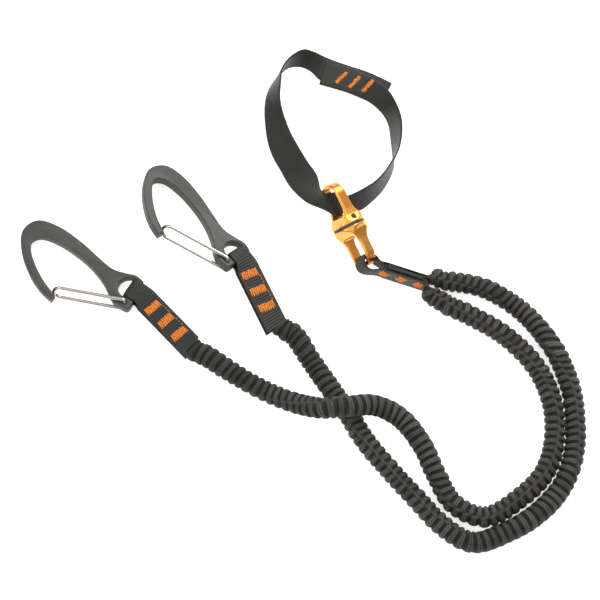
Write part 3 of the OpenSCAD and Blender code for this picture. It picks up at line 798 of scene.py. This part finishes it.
def flat_plate(loops, thick, bevel):
    """Vertices and faces of a flat plate with rounded edges, from its outlines."""
    data = bpy.data.curves.new("outline", "CURVE")
    data.dimensions = "2D"
    data.fill_mode = "BOTH"
    for loop in loops:
        line = data.splines.new("POLY")
        line.points.add(len(loop) - 1)
        for point, (x, y) in zip(line.points, loop):
            point.co = (x, y, 0.0, 1.0)
        line.use_cyclic_u = True
    data.extrude = thick / 2 - bevel
    data.bevel_depth = bevel
    data.bevel_resolution = 3
    data.offset = -bevel
    obj = new_object("outline", data)
    bpy.context.view_layer.update()
    mesh = bpy.data.meshes.new_from_object(
        obj.evaluated_get(bpy.context.evaluated_depsgraph_get()))
    verts = np.array([v.co for v in mesh.vertices], float)
    faces = [list(p.vertices) for p in mesh.polygons]
    bpy.data.objects.remove(obj)
    bpy.data.curves.remove(data)
    bpy.data.meshes.remove(mesh)
    return verts, faces


def weld(obj):
    """Joins the plate's doubled vertices and turns its faces outwards."""
    bm = bmesh.new()
    bm.from_mesh(obj.data)
    bmesh.ops.remove_doubles(bm, verts=bm.verts, dist=WELD_DISTANCE)
    bmesh.ops.recalc_face_normals(bm, faces=bm.faces)
    bm.to_mesh(obj.data)
    bm.free()


def make_clip(side):
    """The clip's body: its plate, and the bar across its slot."""
    spec = CLIPS[side]
    axes = clip_axes(spec["heading"], spec["lift"])
    circle = [(cosd(a), sind(a)) for a in range(0, 360, 12)]
    bore = [(GATE_PIVOT[0] + GATE_BORE_R * x, GATE_PIVOT[1] + GATE_BORE_R * y)
            for x, y in circle]
    verts, faces = flat_plate([clip_outline(), bore], PLATE_T, PLATE_BEVEL)
    # 1 on the rounded edges and 0 on the faces and the sides, for the painted edge highlight.
    off = np.abs(verts[:, 2])
    edge = np.clip((off - 2.5) / 0.5, 0, 1) * np.clip((3.32 - off) / 0.1, 0, 1)
    y = np.linspace(SLOT_Y - SLOT_R - 0.8, SLOT_Y + SLOT_R + 0.8, 24)
    flare = BAR_R + 0.8 * np.exp(-(y - y[0]) / 0.8) + 0.8 * np.exp(-(y[-1] - y) / 0.8)
    q = np.radians(np.arange(0, 360, 10))
    rings = np.stack([np.stack([np.cos(q) * r, np.full(len(q), at), np.sin(q) * r], -1)
                      for at, r in zip(y, np.minimum(flare, BAR_R_MAX))])
    bar_verts, bar_faces, _ = capped_tube(rings)
    all_verts = np.vstack([verts, bar_verts])
    all_faces = faces + [[k + len(verts) for k in face] for face in bar_faces]
    obj = add_mesh(f"{side}_clip_forging", placed(all_verts, spec["bar"], axes), all_faces,
                   CLIP, f"clip_{side}",
                   values={"edge": np.concatenate([edge, np.zeros(len(bar_verts))])})
    weld(obj)
    obj.data.set_sharp_from_angle(angle=math.radians(38))
    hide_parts(f"{side}_clip_body")


def make_gate(side):
    """The wire gate: one bent wire with its ends in the body's bore."""
    spec = CLIPS[side]
    axes = clip_axes(spec["heading"], spec["lift"])
    ct, st = cosd(GATE_TWIST), sind(GATE_TWIST)
    run = GATE_LENGTH - LEG_HALF

    def twisted(x, y, z):
        return (x, y * ct - z * st, y * st + z * ct)

    upper = [(0, 0, 1.2), (0, 0, 2.6), (0, -0.2, 3.7), (0.35, -0.75, 4.55),
             twisted(1.5, 0, LEG_HALF)]
    upper += [twisted(x, 0, LEG_HALF) for x in np.linspace(4, run - 2, 14)]
    bend = [twisted(run + LEG_HALF * cosd(a), 0, LEG_HALF * sind(a))
            for a in range(90, -91, -10)]
    lower = [twisted(x, 0, -LEG_HALF) for x in np.linspace(run - 2, 4, 14)]
    lower += [twisted(1.5, 0, -LEG_HALF), (0.35, 0.75, -4.55), (0, 0.2, -3.7),
              (0, 0, -2.6), (0, 0, -1.2)]
    path = spline(upper + bend + lower, 3)
    c, s = cosd(GATE_HEADING), sind(GATE_HEADING)
    turned = np.stack([path[:, 0] * c - path[:, 1] * s, path[:, 0] * s + path[:, 1] * c,
                       path[:, 2]], axis=1)
    turned[:, :2] += GATE_PIVOT
    v, f, uvs = round_tube(placed(turned, spec["bar"], axes), WIRE_R, 20)
    obj = add_mesh(f"{side}_gate_wire", v, f, WIRE, f"gate_{side}", uvs)
    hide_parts(f"{side}_clip_gate")


def make_clip_tab(side):
    """The webbing looped round the clip's bar, and its stitching."""
    spec = CLIPS[side]
    axes = clip_axes(spec["heading"], spec["lift"])
    bar = spec["bar"]
    end = bar + TAB_LENGTH * unit(spec["reach"])
    wide = end_wide(bar, end, spec["roll"])
    loop_r = BAR_R + 0.4 + WEB_T / 2
    c, h, n = tab_frame(bar + SLOT_Y * axes[1], axes, end, wide, loop_r, CLIP_SLOT_WEB_W,
                        knee=6.0, skew=-1.9)
    obj = strap_mesh(f"{side}_tab_webbing", c, h, n, WEB_T, TAB_WEB, "arms", WEB_RIB,
                     WEB_RELIEF)
    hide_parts(f"{side}_tab")
    tack_threads(f"{side}_tab_threads", f"{side}_tab_stitching", obj, bar, unit(end - bar),
                 wide, spec["first"], 0, spec["seed"], "arms", edge_side=6.0)


for side in ("left", "right"):
    make_clip(side)
    make_gate(side)
    make_clip_tab(side)

# ---------- swivel
# The seam's centre, the axis of the spin and the direction that the eyes' rolls start from.
SEAM = np.array([83.3, -20.2, 18.6])
HEADING = 117.5
RISE = 18.8
AXIS = np.array([cosd(RISE) * cosd(HEADING), cosd(RISE) * sind(HEADING), sind(RISE)])
UP = np.array([-sind(RISE) * cosd(HEADING), -sind(RISE) * sind(HEADING), cosd(RISE)])
LOWER_H = 30.0
UPPER_H = 31.4
BODY_R = 11.75
EDGE_R = 0.95
TIP_R = 9.2
TIP_WALL = 3.4
LEG_WALL = 2.4
EYE_W = 7.6
DOME_H = 7.5
LOWER_ROLL = 26.0
UPPER_ROLL = 24.0
PIN_BORE_R = 1.7
PIN_Z = 4.6
SPINDLE_BORE_R = 2.05
SPINDLE_R = 2.0
SPINDLE_HEAD_R = 2.8
NET_STEP = 0.42


def bar_axis(roll):
    """The direction of an eye's bar."""
    return cosd(roll) * UP + sind(roll) * np.cross(AXIS, UP)


def smin(a, b, k):
    """The smaller of two distances, blended over a width of k."""
    h = np.clip(0.5 + 0.5 * (b - a) / k, 0, 1)
    return b * (1 - h) + a * h - k * h * (1 - h)


def smax(a, b, k):
    return -smin(-a, -b, k)


def polygon_distance(x, z, points):
    """Signed distance in a plane to a polygon, negative inside."""
    p = np.asarray(points, float)
    d = np.full(x.shape, 1e9)
    sign = np.ones(x.shape)
    for i in range(len(p)):
        ax, az = p[i]
        bx, bz = p[i - 1]
        ex, ez = bx - ax, bz - az
        wx, wz = x - ax, z - az
        t = np.clip((wx * ex + wz * ez) / (ex * ex + ez * ez), 0, 1)
        d = np.minimum(d, (wx - ex * t) ** 2 + (wz - ez * t) ** 2)
        c1, c2, c3 = z >= az, z < bz, ex * wz > ez * wx
        flip = (c1 & c2 & c3) | (~c1 & ~c2 & ~c3)
        sign = np.where(flip, -sign, sign)
    return sign * np.sqrt(d)


def rounded(a, b, r):
    """The overlap of two regions, with a rounded corner."""
    a, b = a + r, b + r
    return np.minimum(np.maximum(a, b), 0) + np.hypot(np.maximum(a, 0), np.maximum(b, 0)) - r


def rounded_box(x, z, half, low, high, r):
    """Signed distance in a plane to a box with rounded corners."""
    return rounded(np.abs(x) - half, np.abs(z - (low + high) / 2) - (high - low) / 2, r)


def eye_distance(p, height, pin):
    """Signed distance to one half of the swivel: x along its bar, z out from the seam."""
    x, y, z = p[..., 0], p[..., 1], p[..., 2]
    tip_z = height - TIP_R
    leg = [(BODY_R, -4), (BODY_R, 0), (11.45, 1.8), (10.25, 4.2), (9.6, 7), (TIP_R, 11),
           (TIP_R, tip_z)]
    outline = np.minimum(polygon_distance(x, z, leg + [(-a, b) for a, b in leg[::-1]]),
                         np.hypot(x, z - tip_z) - TIP_R)
    side = [(BODY_R, -4), (BODY_R, 0), (10.85, 1.8), (8.9, 3.4), (7.2, 5.2), (5.7, 7.4),
            (4.6, 9.8), (EYE_W / 2, 12.8), (EYE_W / 2, height + 3)]
    flare = polygon_distance(y, z, side + [(-a, b) for a, b in side[::-1]])
    shape = rounded(outline, flare, EDGE_R)
    hole_w = TIP_R - LEG_WALL
    hole = np.minimum(rounded_box(x, z, hole_w, 13.0, height - TIP_WALL, 3.2),
                      rounded_box(x, z, hole_w, DOME_H, 22.0, 2.2))
    shape = smax(shape, -hole, 0.8)
    shape = smax(shape, np.hypot(x, y) - BODY_R, 0.6)
    shape = smax(shape, 0.8 - z, 0.7)
    if pin:
        return smax(shape, PIN_BORE_R - np.hypot(y, z - PIN_Z), 0.25)
    return smax(shape, SPINDLE_BORE_R - np.hypot(x, y), 0.2)


def surface_net(f, low, high, step):
    """A closed mesh of quads round the region where f is negative."""
    axes = [np.arange(a, b + step, step) for a, b in zip(low, high)]
    grid = np.stack(np.meshgrid(*axes, indexing="ij"), axis=-1)
    value = f(grid)
    shape = value.shape
    inside = value < 0
    corners = [(0, 0, 0), (1, 0, 0), (0, 1, 0), (1, 1, 0), (0, 0, 1), (1, 0, 1), (0, 1, 1),
               (1, 1, 1)]
    cell = tuple(n - 1 for n in shape)

    def part(array, c):
        return array[c[0]:c[0] + cell[0], c[1]:c[1] + cell[1], c[2]:c[2] + cell[2]]

    total = sum(part(inside, c).astype(int) for c in corners)
    active = (total > 0) & (total < 8)
    index = -np.ones(cell, int)
    index[active] = np.arange(active.sum())
    where = np.argwhere(active)
    sums = np.zeros((len(where), 3))
    count = np.zeros(len(where))
    for i, a in enumerate(corners):
        for b in corners[i + 1:]:
            if sum(abs(p - q) for p, q in zip(a, b)) != 1:
                continue
            va = part(value, a)[active]
            vb = part(value, b)[active]
            cross = (va < 0) != (vb < 0)
            t = np.where(cross, va / np.where(va == vb, 1, va - vb), 0)
            place = np.array(a) + t[:, None] * (np.array(b) - np.array(a))
            sums += place * cross[:, None]
            count += cross
    verts = np.array(low) + (where + sums / count[:, None]) * step
    faces = []
    for axis in range(3):
        o1, o2 = [k for k in range(3) if k != axis]
        lo = [slice(0, n) for n in shape]
        hi = [slice(0, n) for n in shape]
        lo[axis] = slice(0, shape[axis] - 1)
        hi[axis] = slice(1, shape[axis])
        for k in (o1, o2):
            lo[k] = slice(1, shape[k] - 1)
            hi[k] = slice(1, shape[k] - 1)
        a, b = inside[tuple(lo)], inside[tuple(hi)]
        for change, turned in ((a & ~b, False), (~a & b, True)):
            at = np.argwhere(change)
            at[:, o1] += 1
            at[:, o2] += 1
            e1, e2 = np.eye(3, dtype=int)[o1], np.eye(3, dtype=int)[o2]
            quad = [at, at - e1, at - e1 - e2, at - e2]
            ids = np.stack([index[tuple(q.T)] for q in quad], axis=1)
            flip = turned ^ (axis == 1)
            faces.append(ids if not flip else ids[:, ::-1])
    faces = np.vstack(faces)
    for _ in range(6):
        h = 0.02
        here = f(verts)
        grad = np.stack([f(verts + h * e) - f(verts - h * e) for e in np.eye(3)], -1) / (2 * h)
        size = np.maximum((grad ** 2).sum(-1, keepdims=True), 0.25)
        verts = verts - np.clip(0.8 * here[:, None] * grad / size, -0.2, 0.2)
    return verts, faces.tolist()


def make_eye(name, node, roll, out, height, pin, body):
    """One half of the swivel, on one side of the seam."""
    verts, faces = surface_net(lambda p: eye_distance(p, height, pin), (-12.6, -12.6, 0.0),
                               (12.6, 12.6, height + 0.9), NET_STEP)
    x_dir = bar_axis(roll)
    z_dir = out * AXIS
    y_dir = np.cross(z_dir, x_dir)
    world = SEAM + verts @ np.stack([x_dir, y_dir, z_dir])
    obj = add_mesh(name, world, faces, SWIVEL, body)
    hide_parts(node)


make_eye("swivel_lower_forging", "swivel_lower_eye", LOWER_ROLL, -1, LOWER_H, False,
         "swivel_lower")
make_eye("swivel_upper_forging", "swivel_upper_eye", UPPER_ROLL, 1, UPPER_H, True,
         "swivel_upper")


def lathe(profile):
    """A round solid about the swivel's axis from pairs of radius and height."""
    x_dir = unit(np.cross(AXIS, [0.3, 0.9, 0.1]))
    y_dir = np.cross(AXIS, x_dir)
    q = np.arange(64) * 2 * math.pi / 64
    rings = [SEAM + z * AXIS + r * (np.cos(q)[:, None] * x_dir + np.sin(q)[:, None] * y_dir)
             for r, z in profile]
    return capped_tube(np.array(rings))


def make_spindle():
    """The spindle with its domed head in the lower eye."""
    head = -DOME_H - 0.1
    dome = [(SPINDLE_HEAD_R * sind(a), head - 0.9 - cosd(a)) for a in range(4, 91, 10)]
    profile = dome + [(SPINDLE_HEAD_R, head - 0.25), (SPINDLE_HEAD_R - 0.2, head),
                      (SPINDLE_R, head), (SPINDLE_R, DOME_H - 1.0)]
    v, f, uvs = lathe(profile)
    obj = add_mesh("swivel_spindle_turned", v, f, STEEL, "swivel_upper", uvs)
    obj.data.set_sharp_from_angle(angle=math.radians(40))
    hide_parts("swivel_spindle")


make_spindle()


repaint("swivel_cross_pin", PIN)
repaint("swivel_seal_ring", SEAL)
repaint("swivel_thrust_washer", STEEL)

# ---------- junction tab
LOWER_BAR = SEAM - (LOWER_H - TIP_WALL / 2) * AXIS
JUNCTION_LENGTH = 42.0
JUNCTION_BAR_W = 11.5
EYE_CLEARANCE = 1.4


def make_junction():
    """The webbing looped through the lower eye, standing on edge, and its stitching."""
    away = unit([38.2, -13.5, -1.3])
    end = LOWER_BAR + JUNCTION_LENGTH * away
    upright = np.array([0.0, 0.0, 1.0])
    bar_dir = bar_axis(LOWER_ROLL)
    first = unit(away - np.dot(away, bar_dir) * bar_dir)
    axes = (first, bar_dir, np.cross(first, bar_dir))
    c, h, n = tab_frame(LOWER_BAR, axes, end, upright, EYE_W / 2 + EYE_CLEARANCE + WEB_T / 2,
                        JUNCTION_BAR_W, knee=3.0, join=11.0)
    obj = strap_mesh("junction_webbing", c, h, n, WEB_T, TAB_WEB, "arms", WEB_RIB, WEB_RELIEF)
    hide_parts("junction_tab")
    level = unit([away[0], away[1], 0.0])
    tack_threads("junction_threads", "junction_stitching", obj, LOWER_BAR, level, upright,
                 13.0, -27, 41, "arms", pitch=12.4, length=6.2, width=8.4)


make_junction()

# ---------- anchor sling
# The sling's two edges round its loop, as the CAD model has them.
SLING_T = 1.4
SLING_RIB = 1.1
SLING_RELIEF = 0.05
SLING = [((115, 97, 1), (107, 80, 1)), ((99, 105.5, 1), (91.5, 88.5, 1)),
         ((84, 111, 1), (77, 93.5, 1)), ((70, 116.3, 1.8), (65, 98.5, 1.2)),
         ((60, 117.5, 9.5), (57.5, 106, 1.2)), ((52, 116.6, 14.5), (50, 109.6, 1)),
         ((43, 109, 17.5), (41.3, 108.6, 1)), ((37.5, 99.5, 18), (34.5, 102, 1)),
         ((36.5, 90, 16), (29, 94, 1)), ((36, 81.5, 12), (26, 85.5, 1)),
         ((37.5, 73, 9), (25, 75.5, 1)), ((40, 65, 7.5), (25.5, 65, 1)),
         ((43.5, 56, 6.5), (27, 53, 1)), ((48.5, 45.5, 7.5), (30.5, 40.5, 1.5)),
         ((55, 32, 11), (36.5, 28, 3)), ((61.6, 19, 16), (43.5, 13.5, 7)),
         ((63.8, 6.2, 22.6), (54, -0.5, 14)), ((65.6, 1.4, 27.8), (64.8, -7.9, 19.1)),
         ((68, -0.1, 27.8), (75.3, -13.9, 21.2)), ((75.1, 2.7, 23.8), (81.2, -9.2, 17.4)),
         ((80.6, 0.4, 22.9), (86.7, -6.5, 12.8)), ((86, 2.5, 21.5), (92.5, -3.5, 8)),
         ((94, 7.5, 20), (100, 4, 5.5)), ((101.5, 13, 19), (106.5, 12.5, 2.5)),
         ((107.5, 19.5, 19), (112, 22.5, 1)), ((112.5, 27, 19), (115, 32, 1)),
         ((118, 37.5, 18), (114.5, 42, 1)), ((120.5, 49.5, 17), (113.5, 53, 1)),
         ((120.5, 62, 16), (112, 64, 1)), ((117.5, 74.5, 13.5), (107.5, 73, 1.5)),
         ((112.5, 86.5, 9.5), (99.5, 80.5, 2.6)), ((104, 97, 5.5), (91, 85, 3)),
         ((92.5, 104.5, 3.4), (82, 89, 2.9)), ((80.5, 109.5, 2.9), (73, 92, 2.9)),
         ((69.5, 113, 2.9), (63.5, 95, 2.9))]


def make_sling():
    """The twisted webbing loop, and the tacks in its lap."""
    rows = spline([a + b for a, b in SLING], 12)
    raised, other = rows[:, :3], rows[:, 3:]
    middle = (raised + other) / 2
    half = (raised - other) / 2
    normal = unit(np.cross(directions(middle), unit(half)))
    obj = strap_mesh("sling_webbing", middle, half, normal, SLING_T, SLING_WEB, "sling",
                     SLING_RIB, SLING_RELIEF)
    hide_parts("anchor_sling")
    along = unit([20.5, -8.0, 0.0])
    across = np.array([-along[1], along[0], 0.0])
    tack_threads("sling_threads", "sling_stitching", obj, np.array([74.5, 101.8, 1.95]),
                 along, across, 5.0, -21, 53, "sling", pitch=10.0, length=2.6)


make_sling()


# ---------- floor and light
FLOOR_HALF = 6.0
FLOOR_Z = -0.0004
LIGHT_TARGET = (0.05, -0.05, 0.0)


def make_stage():
    """A plain pale floor, and a soft sky that is darker towards the horizon."""
    mesh = bpy.data.meshes.new("floor")
    corners = [(-FLOOR_HALF, -FLOOR_HALF), (FLOOR_HALF, -FLOOR_HALF),
               (FLOOR_HALF, FLOOR_HALF), (-FLOOR_HALF, FLOOR_HALF)]
    mesh.from_pydata([(x, y, FLOOR_Z) for x, y in corners], [], [(0, 1, 2, 3)])
    n = Nodes("floor")
    n.set(Base_Color=(0.93, 0.93, 0.93, 1.0), Roughness=0.9,
          Emission_Color=(1.0, 1.0, 1.0, 1.0), Emission_Strength=0.65)
    mesh.materials.append(n.material)
    new_object("floor", mesh)
    world = bpy.data.worlds.new("studio")
    world.use_nodes = True
    tree = world.node_tree
    where = tree.nodes.new("ShaderNodeTexCoord")
    split = tree.nodes.new("ShaderNodeSeparateXYZ")
    sky = tree.nodes.new("ShaderNodeValToRGB")
    sky.color_ramp.elements.new(0.5)
    for element, (place, tone) in zip(sky.color_ramp.elements,
                                      ((0.20, 0.10), (0.70, 0.62), (0.96, 1.0))):
        element.position = place
        element.color = (tone, tone, tone, 1.0)
    tree.links.new(where.outputs["Generated"], split.inputs[0])
    tree.links.new(split.outputs[2], sky.inputs[0])
    tree.links.new(sky.outputs[0], tree.nodes["Background"].inputs[0])
    tree.nodes["Background"].inputs[1].default_value = 1.1
    bpy.context.scene.world = world
    bpy.context.scene.view_settings.view_transform = "Standard"


def add_light(name, place, size, power):
    """A soft rectangular light aimed at the object."""
    data = bpy.data.lights.new(name, "AREA")
    data.shape = "RECTANGLE"
    data.size, data.size_y = size
    data.energy = power
    lamp = new_object(name, data)
    lamp.location = place
    aim(lamp, LIGHT_TARGET)


make_stage()
add_light("key", (0.62, 1.02, 1.08), (0.8, 0.8), 19.0)
add_light("fill", (-0.9, -0.5, 1.2), (0.6, 0.9), 7.0)
